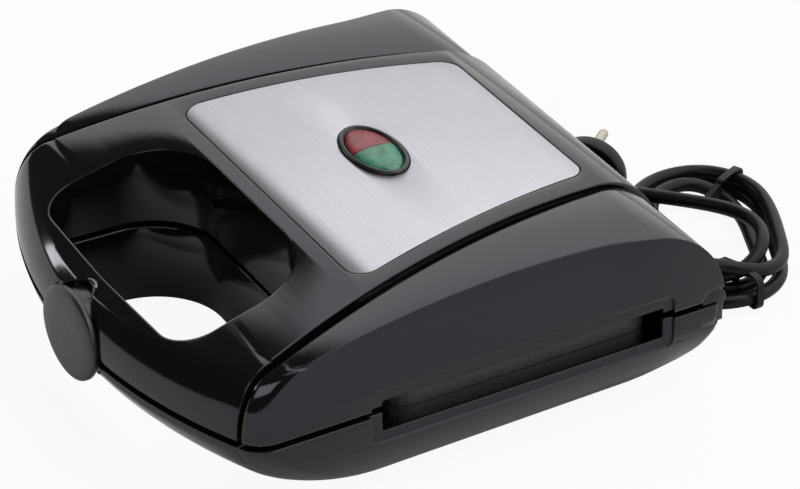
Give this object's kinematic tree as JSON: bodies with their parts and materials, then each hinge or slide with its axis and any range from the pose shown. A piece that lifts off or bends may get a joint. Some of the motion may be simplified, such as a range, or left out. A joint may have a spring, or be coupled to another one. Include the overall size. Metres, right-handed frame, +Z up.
{
  "type": "sandwich toaster",
  "caption": "Hinged clamshell sandwich toaster with a loop handle, front latch, oval signal lamp, triangle-pocket plates and a tied cord.",
  "frame": {"origin": "on the table, under the middle of the closed body's footprint", "axes": "+Z up, +Y from the front handle towards the rear hinge, +X to the right seen from the front"},
  "size_m": [0.236, 0.3491, 0.0919],
  "materials": {
    "brass": "plain turned brass",
    "bright_steel": "bright plated steel",
    "brushed_steel": "fine brushed stainless sheet",
    "cast_aluminium": "cast aluminium with a dark non-stick coating",
    "ceramic": "pale heat-proof moulding",
    "gloss_black": "high-gloss moulded black",
    "green_lens": "clear green moulded lens",
    "neon_glass": "clear glass capsule",
    "red_lens": "clear red moulded lens",
    "rubber": "matt black rubber",
    "satin_black": "satin moulded dark grey"
  },
  "bodies": {
    "base": {"base_shell": "gloss_black", "base_handle": "gloss_black", "foot_front_left": "rubber", "foot_front_right": "rubber", "foot_rear_left": "rubber", "foot_rear_right": "rubber", "lower_plate": "cast_aluminium", "lower_element": "bright_steel", "lower_reflector": "bright_steel", "lower_thermostat": "ceramic", "hinge_lug_left": "gloss_black", "hinge_lug_right": "gloss_black", "hinge_pin_left": "bright_steel", "hinge_pin_right": "bright_steel", "strain_relief": "rubber", "cord_lead": "rubber", "cord_hank": "rubber", "cord_tail": "rubber", "cord_tie_far": "rubber", "cord_tie_near": "rubber", "plug_body": "rubber", "plug_pin_low": "brass", "plug_pin_high": "brass"},
    "lid": {"lid_shell": "gloss_black", "lid_spine": "gloss_black", "cover_plate": "brushed_steel", "lamp_bezel": "satin_black", "lens_red": "red_lens", "lens_green": "green_lens", "lamp_holder": "ceramic", "neon_red": "neon_glass", "neon_green": "neon_glass", "upper_plate": "cast_aluminium", "upper_element": "bright_steel", "upper_reflector": "bright_steel", "upper_thermostat": "ceramic", "latch_pin": "bright_steel"},
    "latch": {"latch": "satin_black"}
  },
  "joints": [
    {"name": "lid_hinge", "type": "hinge", "parent": "base", "child": "lid", "pos_m": [0, 0.121, 0.0435], "axis": [-1, 0, 0], "range_deg": [0, 100]},
    {"name": "latch_swing", "type": "hinge", "parent": "lid", "child": "latch", "pos_m": [0, -0.1173, 0.06], "axis": [-1, 0, 0], "range_deg": [0, 30]}
  ]
}
